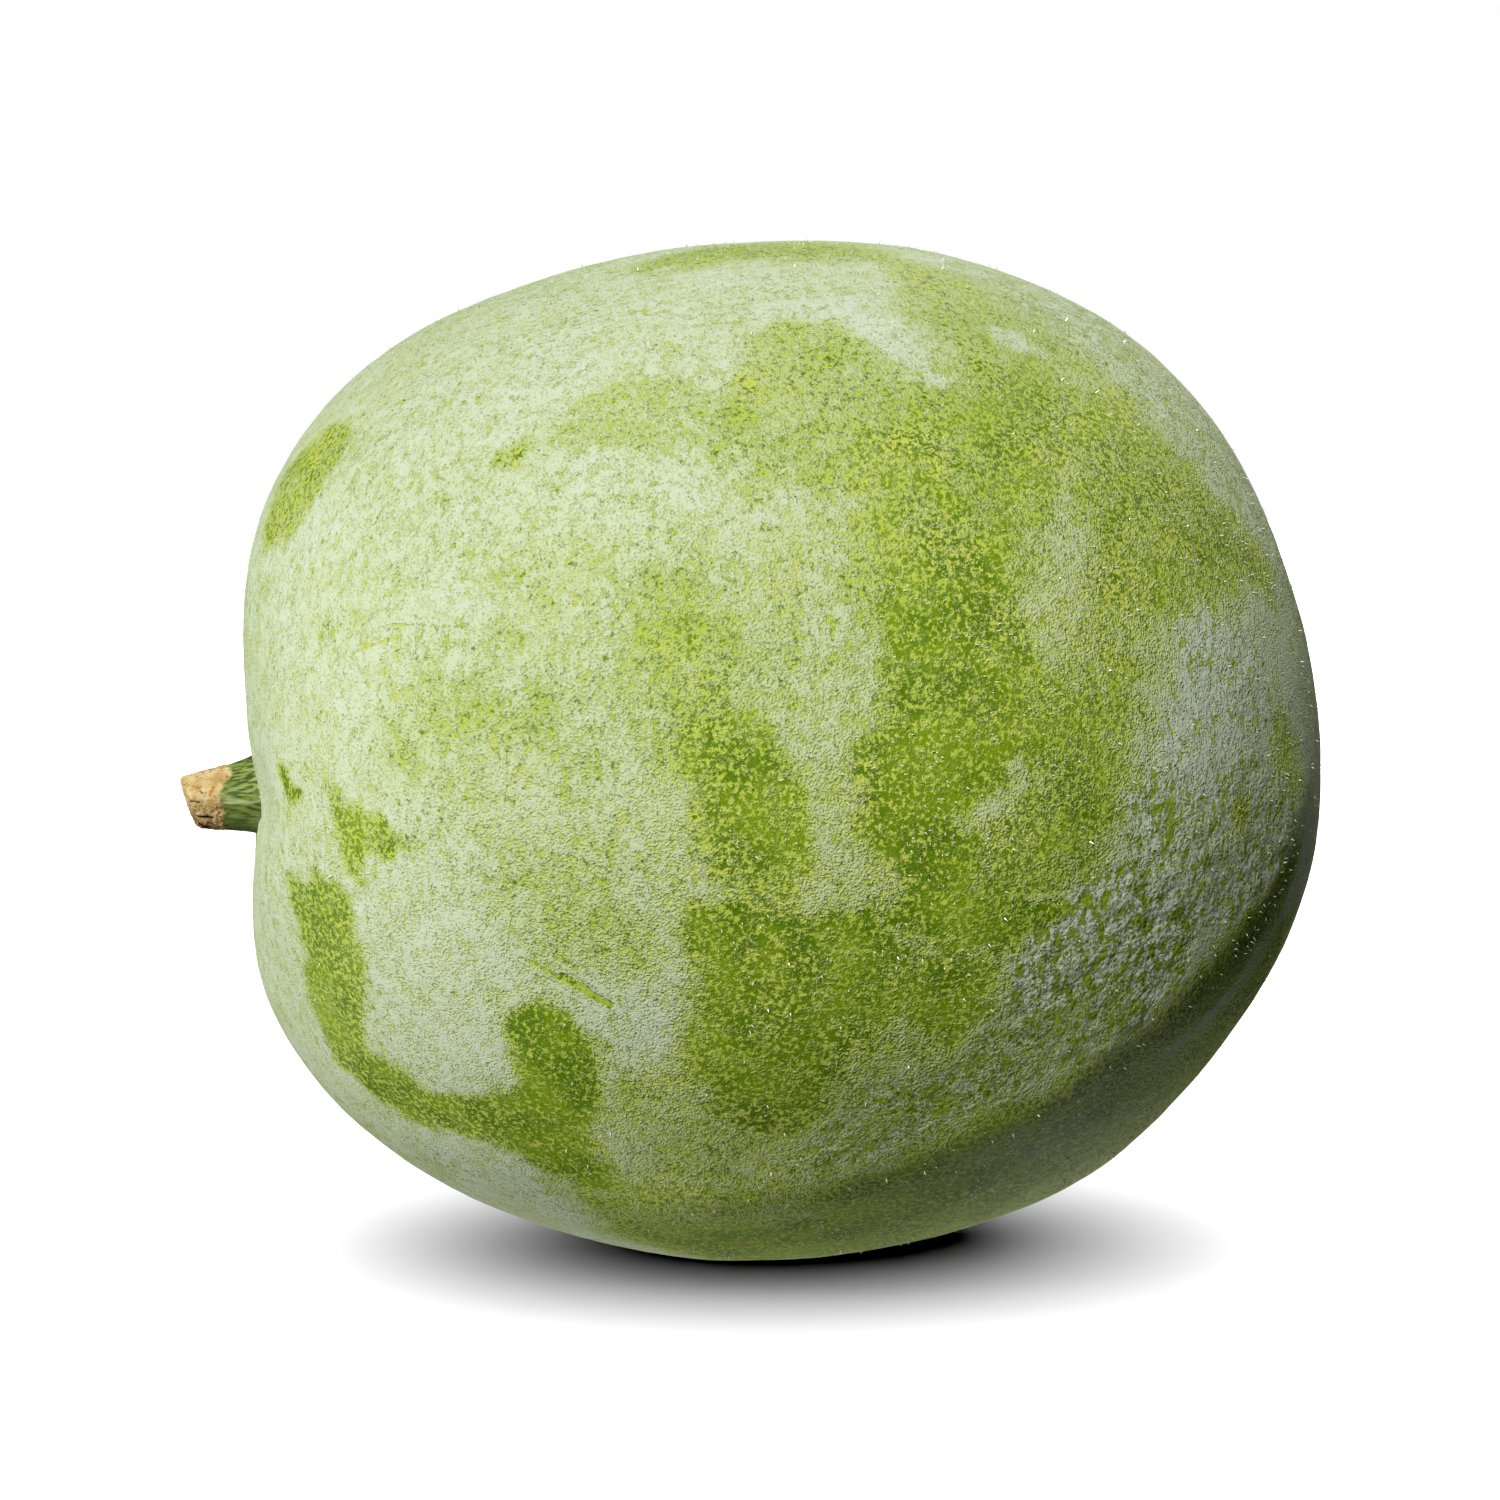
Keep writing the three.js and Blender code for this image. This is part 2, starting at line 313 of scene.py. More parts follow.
def rub_outline(random, length, width):
    """The corners of an uneven oval at a random place and turn, in degrees."""
    middle = np.array((random.uniform(*RUB_POLAR), random.uniform(*RUB_AROUND)))
    turn = random.uniform(0, math.pi)
    corners = []
    for k in range(RUB_CORNERS):
        angle = 2 * math.pi * k / RUB_CORNERS
        out = random.uniform(*RUB_UNEVENNESS)
        onwards = out * length * math.cos(angle)
        sideways = out * width * math.sin(angle)
        polar = math.cos(turn) * onwards - math.sin(turn) * sideways
        around = math.sin(turn) * onwards + math.cos(turn) * sideways
        corners.append(middle + (polar, around / math.sin(math.radians(middle[0]))))
    return corners


def hidden_marks():
    """Rubs like those in front, at places drawn at random over the hidden side."""
    random = np.random.default_rng(HIDDEN_SEED)
    marks = []
    for count, lengths, widths, levels, edges in HIDDEN_RUBS:
        for _ in range(count):
            length, width = (random.uniform(*ends) * DEGREES_PER_MM for ends in (lengths, widths))
            corners = rub_outline(random, length, width)
            marks.append((random.uniform(*levels), random.uniform(*edges), corners))
    return marks


def bloom_on(directions):
    """How thick the waxy bloom is, from 0 for bare rind to 1, and how crusty it is, from 0 to 1."""
    wandering = warped(directions)
    bloom = np.full(len(directions), FULL_BLOOM)
    crust = np.zeros(len(directions))
    for name, (level, edge, corners) in BLOOM_MARKS.items():
        cover = outlined(wandering, corners, EDGE_SOFTNESS * edge * MM)
        bloom += (level - bloom) * cover
        crust += (CRUSTY.get(name, 0.0) - crust) * cover
    for level, edge, corners in hidden_marks():
        bloom += (level - bloom) * outlined(wandering, corners, edge * MM)
    for kind in BLOOM_DRIFT:
        bloom += ripples(SKIN_RADIUS * directions, *kind)
    return np.clip(bloom, 0.0, 1.0), crust


# -------------------------------- the skin

CAGE_CELLS = 32  # across each of the six sides of the cage that the skin is grown from
SKIN_LEVELS = 2  # each level cuts every cell of the cage in four
PROBE_TILTS = np.radians((2.0, 4.0))  # the CAD skin is also measured at these angles about a place
PROBES = 6  # at each tilt

UNDULATION = ((48 * MM, 0.5 * MM, 31), (15 * MM, 0.18 * MM, 32))  # bump size, height, seed
CRUST_BUMP = 4.0 * MM
CRUST_HEIGHT = 0.3 * MM
CRUST_SEED = 33
SMOOTH_BLOOM_SHARE = 0.4  # of that height, which full bloom has where it isn't crusty

# The skin bends more sharply along this line, from flank to underside.
BEND = [(70, 144), (83, 139), (99, 134), (112, 130), (120, 126), (133, 123), (143, 117), (149, 107)]
BEND_HEIGHT = 1.6 * MM
BEND_WIDTH = 14 * MM
# Low swells and hollows: polar and around in degrees, then radius and height in mm.
SWELLS = [
    (31, 14, 32, 2.1),
    (16, 5, 22, -1.2),
    (22, 62, 14, -1.0),
    (19, 86, 12, -3.2),
    (10, 95, 12, -3.0),
    (21, 112, 12, 0.8),
    (17, 175, 24, 1.3),
    (36, 160, 26, 1.1),
    (162, 20, 26, -2.3),
    (145, 167, 20, -1.0),
    (120, 170, 26, 1.4),
]

STALK_RIBS = 5
# The furrows round the stalk, one between each two of its ribs.
FURROW_DEPTH = 0.9 * MM
FURROW_REACH = (9 * MM, 34 * MM)  # from the stalk's axis: they are full up to here, and end there
FURROW_SHARPNESS = 3  # higher is narrower
FURROW_SWAY = (20 * MM, 0.25, 34)  # bump size, reach in radians, seed
# The scar that the blossom left.
SCAR_REACH = (1.8 * MM, 13.2 * MM)  # from the pole: it is deepest up to here, and ends there
SCAR_WANDER = (5 * MM, 1.2 * MM, 35)  # bump size, reach, seed
SCAR_DEPTH = 1.2 * MM


def skin_distance(towards):
    """The CAD fruit's distance from the heart, evened out over its facets."""
    aside = Vector(towards).orthogonal().normalized()
    onwards = Vector(towards).cross(aside)
    probes = [Vector(towards)]
    for tilt in PROBE_TILTS:
        for k in range(PROBES):
            turn = 2 * math.pi * k / PROBES
            lean = math.cos(turn) * aside + math.sin(turn) * onwards
            probes.append(math.cos(tilt) * Vector(towards) + math.sin(tilt) * lean)
    distances = [reach(FRUIT_TREE, HEART, probe) for probe in probes]
    return sum(distances) / len(distances)


def skin_cage():
    """A coarse cage of quads over the CAD fruit, with one side square to the stalk."""
    cage = bmesh.new()
    bmesh.ops.create_cube(cage, size=2.0)
    bmesh.ops.subdivide_edges(cage, edges=cage.edges[:], cuts=CAGE_CELLS - 1, use_grid_fill=True)
    for vertex in cage.verts:
        even = [math.tan(c * math.pi / 4) for c in vertex.co]
        towards = -even[0] * TO_STALK - even[1] * TO_FRONT + even[2] * TO_TOP
        towards /= np.linalg.norm(towards)
        vertex.co = HEART + skin_distance(towards) * towards
    mesh = bpy.data.meshes.new("fruit_skin")
    cage.to_mesh(mesh)
    cage.free()
    return mesh


def coordinates(mesh):
    flat = np.empty(3 * len(mesh.vertices))
    mesh.vertices.foreach_get("co", flat)
    return flat.reshape(-1, 3)


def add_object(name, mesh, material, smooth=True):
    made = bpy.data.objects.new(name, mesh)
    bpy.context.collection.objects.link(made)
    mesh.materials.append(material)
    if smooth:
        mesh.shade_smooth()
    made.visible_diffuse = False  # it throws no green light on the floor
    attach(made, "root")
    return made


def with_subdivision(mesh, levels):
    """The mesh with its cells cut finer and rounded."""
    holder = bpy.data.objects.new("holder", mesh)
    bpy.context.collection.objects.link(holder)
    subdivision = holder.modifiers.new("finer", "SUBSURF")
    subdivision.levels = levels
    evaluated = holder.evaluated_get(bpy.context.evaluated_depsgraph_get())
    finer = bpy.data.meshes.new_from_object(evaluated)
    bpy.data.objects.remove(holder)
    return finer


def add_values(mesh, name, values):
    """One number for each vertex, that the material reads by name."""
    attribute = mesh.attributes.new(name, "FLOAT", "POINT")
    attribute.data.foreach_set("value", np.ascontiguousarray(values, dtype=np.float32))


def skin_relief(directions, bloom, crust):
    """How far the skin stands out from the CAD fruit, in metres."""
    points = SKIN_RADIUS * directions
    relief = np.zeros(len(points))
    for kind in UNDULATION:
        relief += ripples(points, *kind)
    lumpy = SMOOTH_BLOOM_SHARE * bloom + crust
    relief += CRUST_HEIGHT * lumpy * noise(points, CRUST_BUMP, CRUST_SEED)
    from_bend, _ = distance_to(directions, BEND, closed=False)
    relief += BEND_HEIGHT * np.exp(-((from_bend / BEND_WIDTH) ** 2))
    for polar, around, radius, height in SWELLS:
        aside, across = flattened(directions, math.radians(polar), math.radians(around))
        relief += height * MM * np.exp(-((np.hypot(aside, across) / (radius * MM)) ** 2))
    aside, across = flattened(directions, 0.0, 0.0)
    from_stalk = np.hypot(aside, across)
    turn = np.arctan2(across, aside) + ripples(points, *FURROW_SWAY)
    furrow = (0.5 - 0.5 * np.cos(STALK_RIBS * turn)) ** FURROW_SHARPNESS
    relief -= FURROW_DEPTH * furrow * (1.0 - smoothstep(*FURROW_REACH, from_stalk))
    aside, across = flattened(directions, math.pi, 0.0)
    from_scar = np.hypot(aside, across) + ripples(points, *SCAR_WANDER)
    relief -= SCAR_DEPTH * (1.0 - smoothstep(*SCAR_REACH, from_scar))
    return relief


def build_skin(material):
    mesh = with_subdivision(skin_cage(), SKIN_LEVELS)
    places = coordinates(mesh)
    distances = np.linalg.norm(places - HEART, axis=1, keepdims=True)
    directions = (places - HEART) / distances
    bloom, crust = bloom_on(directions)
    places += skin_relief(directions, bloom, crust)[:, None] * directions
    places[:, 2] = np.maximum(places[:, 2], 0.0)
    mesh.vertices.foreach_set("co", places.ravel())
    add_values(mesh, "bloom", bloom)
    add_values(mesh, "crust", crust)
    mesh.update()
    skin = add_object("fruit_skin", mesh, material)
    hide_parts("fruit")
    return skin


# -------------------------------- the stalk

# Lengths along the stalk start at the floor of the dimple, and turns go from the top by the front.
STALK_SEGMENTS = 160
STALK_RINGS = 80
CUT_RINGS = 16
STALK_ROOT = -6 * MM  # where its mesh starts, inside the fruit
STATIONS = np.linspace(5, 15, 6) * MM  # where the CAD stalk's radius is measured
BEYOND_CUT = 100 * MM
SLANT_ASIDE = 2 * MM  # the cut's slant is measured this far from its middle
FLARE_START = 6 * MM
FLARE = 0.022  # mm of radius per square mm nearer the fruit than the flare's start
RIB_DEPTH = 0.06  # share of the radius
RIDGES = 27
RIDGE_HEIGHT = 0.11 * MM
RIDGE_SWAY = (4 * MM, 1.5, 53)  # bump size, reach in radians, seed
RIDGE_STRETCH = (0.2, 1.0, 1.0)  # noise that is stretched along the stalk, nearly the X axis
GRAIN = (1.1 * MM, 0.06 * MM, 52)  # bump size, height, seed
GRAIN_STRETCH = (0.25, 1.0, 1.0)
RIM_ROUNDING = 0.5 * MM
CUT_TURN = math.radians(9)  # how far the cut looks to the front
CUT_FIBRES = ((1.3 * MM, 0.35 * MM, 56), (0.6 * MM, 0.21 * MM, 57))  # bump size, height, seed
CORK_EDGE = 9.8 * MM  # where the cork starts
CORK_WANDER = ((3.2 * MM, 1.1 * MM, 61), (1.2 * MM, 0.5 * MM, 62))  # bump size, reach, seed
CORK_BLUR = 0.3 * MM
CORK_TONGUE = (2.6 * MM, 22, 30)  # it reaches nearer the fruit about one turn: by, at, half width
CORK_THICKNESS = 0.22 * MM
CORK_LUMPS = ((1.6 * MM, 0.24 * MM, 54), (0.7 * MM, 0.12 * MM, 55))  # size, height, seed
CORK_RADIUS = 7.5 * MM  # turns count as this far from the axis when a crack's width is measured
# Cracks in the cork: length and turn of both ends, in mm and degrees, and width in mm.
CRACKS = [
    (17.5, 118, 12.6, 121, 0.8),
    (16.8, 138, 13.8, 146, 1.5),
    (18.2, 78, 15.6, 84, 0.4),
    (15.2, 60, 14.0, 72, 0.5),
    (17.0, 200, 10.5, 206, 0.6),
    (18.0, 285, 11.0, 279, 0.7),
]
CRACK_DEPTH = 0.8 * MM
CRACK_WANDER = 0.3  # share of the cork edge's
CRACK_SIDES = (0.2, 0.6)  # how far from its line it is full, and ends, as shares of its width
CUT_CRACK_SHARE = 0.6  # of a crack's depth, where it crosses the cut
# The fruit's bloom runs up the foot of the stalk in teeth.
DUST_BASE = -1.0 * MM  # where the teeth start, just below the floor of the dimple
DUST_TEETH = (1.5 * MM, 2.2 * MM, 63)  # bump size, length, seed
DUST_STRETCH = (0.1, 1.0, 1.0)
DUST_BLUR = 0.6 * MM
# Painted shade: the colour of the stalk's underside is darkened.
SHADE_BELOW_TURNS = (math.radians(75), math.radians(150))  # the turn from the top where the painted shade on the underside starts and is full

TURNS = np.linspace(0.0, 2.0 * math.pi, STALK_SEGMENTS, endpoint=False)
SPOKES = np.cos(TURNS)[:, None] * TO_TOP + np.sin(TURNS)[:, None] * TO_FRONT


def stalk_form():
    """The floor of the dimple, and the CAD stalk's taper, length and slant of its cut."""
    floor = HEART + skin_distance(TO_STALK) * TO_STALK

    def cut_at(aside):
        start = floor + aside * TO_TOP + BEYOND_CUT * TO_STALK
        return BEYOND_CUT - reach(STALK_TREE, start, -TO_STALK)

    radii = []
    for station in STATIONS:
        centre = floor + station * TO_STALK
        radii.append(np.mean([reach(STALK_TREE, centre, spoke) for spoke in SPOKES]))
    length = cut_at(0.0)
    slant = (cut_at(SLANT_ASIDE) - length) / SLANT_ASIDE
    return floor, np.polyfit(STATIONS, radii, 1), length, slant


def stalk_points(floor, taper, length, slant):
    """The smooth stalk's points ring by ring, from its root to the middle of its cut."""
    ribs = 1.0 + RIB_DEPTH * np.cos(STALK_RIBS * TURNS)
    tilt = slant * np.cos(TURNS) - math.tan(CUT_TURN) * np.sin(TURNS)
    points = []
    for ring in range(STALK_RINGS + CUT_RINGS):
        side = min(ring / (STALK_RINGS - 1), 1.0)
        inward = max(ring - STALK_RINGS + 1, 0) / CUT_RINGS
        along = STALK_ROOT + side * (length - STALK_ROOT)
        flare = FLARE * (max(FLARE_START - along, 0.0) / MM) ** 2 * MM
        rounding = RIM_ROUNDING * smoothstep(length - 2 * RIM_ROUNDING, length, np.array(along))
        radius = (np.polyval(taper, along) + flare) * ribs - rounding
        radius *= 1.0 - inward
        centres = floor + (along + side * radius * tilt)[:, None] * TO_STALK
        points.append(centres + radius[:, None] * SPOKES)
    points.append((floor + length * TO_STALK)[None, :])
    return np.concatenate(points)


def stalk_marks(places, alongs, around):
    """Where the stalk is corky, cracked and dusted with bloom, and how much painted shade darkens its
    underside, each from 0 to 1.
    """
    wander = sum(ripples(places, *kind) for kind in CORK_WANDER)
    by, at, width = CORK_TONGUE
    aside = np.degrees(around) - at
    tongue = by * np.exp(-((aside / width) ** 2))
    cork = smoothstep(-CORK_BLUR, CORK_BLUR, alongs + wander - CORK_EDGE + tongue)
    crack = np.zeros(len(places))
    girth = CORK_RADIUS * around
    for start, start_turn, end, end_turn, width in CRACKS:
        x, y = start * MM, CORK_RADIUS * math.radians(start_turn)
        run, rise = end * MM - x, CORK_RADIUS * math.radians(end_turn) - y
        gap = gap_to_line(alongs - x, girth - y, run, rise) + CRACK_WANDER * wander
        full, gone = (side * width * MM for side in CRACK_SIDES)
        crack = np.maximum(crack, 1.0 - smoothstep(full, gone, gap))
    teeth = np.abs(ripples(places * DUST_STRETCH, *DUST_TEETH))
    dust = 1.0 - smoothstep(0.0, DUST_BLUR, alongs - DUST_BASE - teeth)
    # painted shade, full on the underside
    painted_shade_below = smoothstep(*SHADE_BELOW_TURNS, np.minimum(around, 2.0 * math.pi - around))
    return {"cork": cork, "crack": crack, "dust": dust, "painted_shade_below": painted_shade_below}


def side_relief(places, around, cork, crack):
    """How far the stalk's side stands out from the smooth stalk: fine ridges, and lumpy cork."""
    swayed = RIDGES * around + ripples(places * RIDGE_STRETCH, *RIDGE_SWAY)
    ridges = 0.5 + 0.5 * np.cos(swayed)
    grain = ripples(places * GRAIN_STRETCH, *GRAIN)
    lumps = CORK_THICKNESS + sum(ripples(places, *kind) for kind in CORK_LUMPS)
    bare = RIDGE_HEIGHT * ridges + grain
    return (1.0 - cork) * bare + cork * lumps - CRACK_DEPTH * crack


def stalk_faces(middle):
    """Faces between the rings, over the root, and from the last ring to the point in the middle."""
    faces = [tuple(range(STALK_SEGMENTS))]
    for k in range(STALK_SEGMENTS):
        onwards = (k + 1) % STALK_SEGMENTS
        for ring in range(STALK_RINGS + CUT_RINGS - 1):
            low = ring * STALK_SEGMENTS
            high = low + STALK_SEGMENTS
            faces.append((low + k, high + k, high + onwards, low + onwards))
        last = middle - STALK_SEGMENTS
        faces.append((last + k, middle, last + onwards))
    return faces


def build_stalk(material):
    floor, taper, length, slant = stalk_form()
    places = stalk_points(floor, taper, length, slant)
    across = places - floor
    alongs = across @ TO_STALK
    around = np.arctan2(across @ TO_FRONT, across @ TO_TOP) % (2.0 * math.pi)
    outward = across - alongs[:, None] * TO_STALK
    outward /= np.maximum(np.linalg.norm(outward, axis=1, keepdims=True), 1e-9)
    is_cut = np.arange(len(places)) >= STALK_RINGS * STALK_SEGMENTS
    marks = stalk_marks(places, alongs, around)
    marks["cork"][is_cut] = 1.0
    fibres = sum(ripples(places, *kind) for kind in CUT_FIBRES)
    cut_height = fibres - CUT_CRACK_SHARE * CRACK_DEPTH * marks["crack"]
    side_height = side_relief(places, around, marks["cork"], marks["crack"])
    height = np.where(is_cut, cut_height, side_height)
    push = np.where(is_cut[:, None], TO_STALK, outward)
    places = places + height[:, None] * push
    mesh = bpy.data.meshes.new("stalk_skin")
    mesh.from_pydata(places.tolist(), [], stalk_faces(len(places) - 1))
    for name, values in marks.items():
        add_values(mesh, name, values)
    mesh.update()
    skin = add_object("stalk_skin", mesh, material)
    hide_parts("stalk")
    return skin


# -------------------------------- the bristles

# Short stiff hairs still stand where the rind is bare, more of them towards the blossom end.
BRISTLE_TRIES = 60000
BRISTLE_LENGTH = (0.5 * MM, 1.3 * MM)
BRISTLE_WIDTH = 0.38 * MM
BRISTLE_ROOT = 0.1  # the share of its length by which it starts inside the skin
BRISTLE_FREE = 3 * MM  # none stand lower than this, where the fruit lies on the ground
BRISTLE_LEAN = (0.3, 1.2)  # how far a bristle leans, per unit that it stands up
BRISTLE_SEED = 91
BRISTLE_CLUSTERS = (18 * MM, 0.9, 92)  # bump size, change of the chance, seed
CHANCE_ON_BLOOM = 0.05  # that a bristle stands at a tried place
CHANCE_ON_RIND = 0.6  # added to that on bare rind
FEW = 0.15  # share of the chance that is left where few stand
# Few stand up to the first of these and most past the second: the polar angle, and the height of
# the direction from the heart.
BARE_AT_STALK = (math.radians(45), math.radians(95))
BARE_BELOW = (-0.5, -0.05)


def bristle_chance(directions):
    """The chance that a bristle stands at each place."""
    bloom, _ = bloom_on(directions)
    polar = np.arccos(np.clip(directions @ TO_STALK, -1.0, 1.0))
    chance = CHANCE_ON_BLOOM + CHANCE_ON_RIND * (1.0 - bloom) ** 2
    chance *= FEW + (1.0 - FEW) * smoothstep(*BARE_AT_STALK, polar)
    chance *= 1.0 + ripples(SKIN_RADIUS * directions, *BRISTLE_CLUSTERS)
    chance *= FEW + (1.0 - FEW) * smoothstep(*BARE_BELOW, directions[:, 2])
    return chance


def build_bristles(skin, material):
    """Each bristle is a leaning spike with three sides."""
    tree = BVHTree.FromObject(skin, bpy.context.evaluated_depsgraph_get())
    random = np.random.default_rng(BRISTLE_SEED)
    tries = random.normal(size=(BRISTLE_TRIES, 3))
    tries /= np.linalg.norm(tries, axis=1, keepdims=True)
    chance = bristle_chance(tries)
    points = []
    faces = []
    for towards in tries[random.random(len(tries)) < chance]:
        foot, normal, _, _ = tree.ray_cast(Vector(HEART), Vector(towards))
        if foot.z < BRISTLE_FREE:
            continue
        aside = normal.orthogonal().normalized()
        aside.rotate(Quaternion(normal, random.uniform(0, 2 * math.pi)))
        length = random.uniform(*BRISTLE_LENGTH)
        stands = (normal + random.uniform(*BRISTLE_LEAN) * aside).normalized()
        start = len(points)
        for k in range(3):
            spoke = aside.copy()
            spoke.rotate(Quaternion(normal, 2 * math.pi * k / 3))
            root = foot - BRISTLE_ROOT * length * normal
            points.append(root + 0.5 * BRISTLE_WIDTH * spoke)
        points.append(foot + length * stands)
        for corners in ((0, 2, 1), (0, 1, 3), (1, 2, 3), (2, 0, 3)):
            faces.append([start + corner for corner in corners])
    mesh = bpy.data.meshes.new("bristles")
    mesh.from_pydata(points, [], faces)
    return add_object("bristles", mesh, material, smooth=False)


# -------------------------------- materials

HAZE_COLOUR = (0.46, 0.56, 0.15, 1)
BLOOM_COLOUR = (0.58, 0.66, 0.5, 1)
RIND_DARK = (0.09, 0.18, 0.003, 1)
RIND_GREEN = (0.18, 0.29, 0.006, 1)
FLECK_GREEN = (0.41, 0.53, 0.06, 1)
FLECK_YELLOW = (0.53, 0.59, 0.09, 1)
SPOT_BROWN = (0.3, 0.24, 0.09, 1)
BRISTLE_GREEN = (0.75, 0.85, 0.5, 1)
BRISTLE_WHITE = (0.95, 0.97, 0.9, 1)
STALK_DARK = (0.05, 0.085, 0.014, 1)
STALK_GREEN = (0.26, 0.34, 0.06, 1)
STALK_PALE = (0.46, 0.54, 0.22, 1)
CORK_CREAM = (0.7, 0.54, 0.25, 1)
CORK_TAN = (0.52, 0.34, 0.11, 1)
CORK_RUST = (0.5, 0.24, 0.07, 1)
CORK_DARK = (0.2, 0.11, 0.03, 1)
CRACK_DARK = (0.03, 0.016, 0.004, 1)

# Patches of noise: bump size, and the noise where a patch starts and is full.
RIND_SHADES = (14 * MM, 0.35, 0.65)
RIND_RIPENESS = (22 * MM, 0.4, 0.65)
BRISTLE_TINTS = (6 * MM, 0.35, 0.65)
STALK_STREAKS = (0.9 * MM, 0.36, 0.64)
STALK_PALE_PATCHES = (2.6 * MM, 0.56, 0.72)
DUST_SPECKS = (0.9 * MM, 0.45, 0.7)
CORK_PATCHES = (2.8 * MM, 0.4, 0.66)
CORK_RUST_PATCHES = (2.2 * MM, 0.58, 0.7)

# The rind's flecks. The level is added to their noise, on bare rind and under full bloom.
FLECK_SIZE = 1.2 * MM
FLECK_LEVEL = (-0.515, -0.355)
FLECK_EDGE = 0.09
# The bloom's patterns. A pair holds for smooth bloom and for crust.
FLECKS_SEEN = (1.0, 0.3)
MOTTLE_SIZE = 6.5 * MM
MOTTLE_REST = 0.4  # its strength on full bloom and on bare rind
MOTTLE_RISE = 4.5  # times bloom times wear: it is strongest on half worn bloom
GRIT_SIZE = 2.4 * MM
GRIT_STRENGTH = (2.1, 3.3)
POWDER_SIZE = 0.6 * MM
POWDER_STRENGTH = (2.2, 3.7)
PIT_SIZE = 2.2 * MM
PITS_BELOW = (0.385, 0.485)  # values of their noise
PIT_EDGE = 0.03
PIT_DEPTH = (-0.6, -1.2)  # added to the bloom's thickness
TALL = (1.0, 1.0, 0.6)  # grit and pits are stretched upwards
COVER_STARTS = (0.0, 0.25)  # where the bloom starts to hide the rind
COVER_FULL = (1.15, 0.85)
HAZE_POWER = 1.8  # higher keeps the colour of thin bloom up to thicker bloom
KNOB_SIZE = 1.5 * MM
KNOB_WARP = 1.2 * MM
KNOB_HEIGHT = (-0.2, -1.1)  # times the distance from a knob's middle
KNOB_SWAY_SCALE = 0.6  # how many bumps the warping noise has for each knob
RIND_GRAIN = (1.2 * MM, 0.9)  # bump size, height
RIND_BUMP = 0.3 * MM
RIND_ROUGHNESS = (0.55, 0.85)  # bare, and under bloom
SPOT_RAGGEDNESS = 0.8
SPOT_EDGE = (0.2, 0.9)  # where brown starts and is full
# The stalk's patterns.
STREAK_STRETCH = (0.12, 1.0, 1.0)
FIBRE_STRETCH = (0.4, 1.0, 1.0)
FIBRE_SIZE = 0.7 * MM
FIBRE_BUMP = 0.35 * MM
# How far the painted shade below darkens the stalk's green, and how much it adds to the cork's dark stains.
PAINTED_SHADE_ON_GREEN = 0.75
PAINTED_SHADE_ON_STAINS = 0.2
STAIN_SIZE = 1.0 * MM
STAIN_EDGE = (0.52, 0.7)
DUST_THICK = (0.5, 1.0)  # from where to where the bloom on its foot becomes whole
STALK_ROUGHNESS = (0.55, 0.8)  # green, and corky
NOISE_SHIFT = (0.7, 0.3, 0.5)  # metres between the noises of one seed and the next
SCRATCH_CORE = 0.4  # a scratch is full this near its line, as a share of its width
SPOT_CORE = 0.3  # a spot is full this near its middle, as a share of its radius

# Scratches: both ends as (polar, around) in degrees, width in mm, and bloom added or taken.
SCRATCHES = [
    ((61.0, 107.8), (65.5, 111.0), 1.3, -1.0),
    ((57.0, 105.8), (61.5, 108.2), 0.6, -0.7),
    ((60.0, 108.9), (65.0, 112.2), 0.7, 0.4),
    ((60.0, 105.6), (66.0, 109.8), 0.6, 0.4),
    ((109.0, 104.6), (113.5, 105.6), 1.2, -0.9),
    ((108.0, 103.2), (112.5, 103.8), 1.3, 0.7),
    ((47.0, 64.0), (54.0, 67.0), 0.5, -0.4),
    ((48.0, 66.0), (42.0, 65.5), 0.6, -0.5),
    ((129.0, 128.0), (134.0, 120.0), 0.5, 0.5),
    ((104.0, 74.0), (110.0, 82.0), 0.5, 0.35),
]
# Brown spots: (polar, around) in degrees, radius in mm and strength.
SPOTS = [
    ((180, 0), 7.0, 0.8),
    ((79, 154), 3.5, 0.7),
    ((74, 150), 1.6, 0.6),
    ((59, 110), 0.9, 0.8),
]


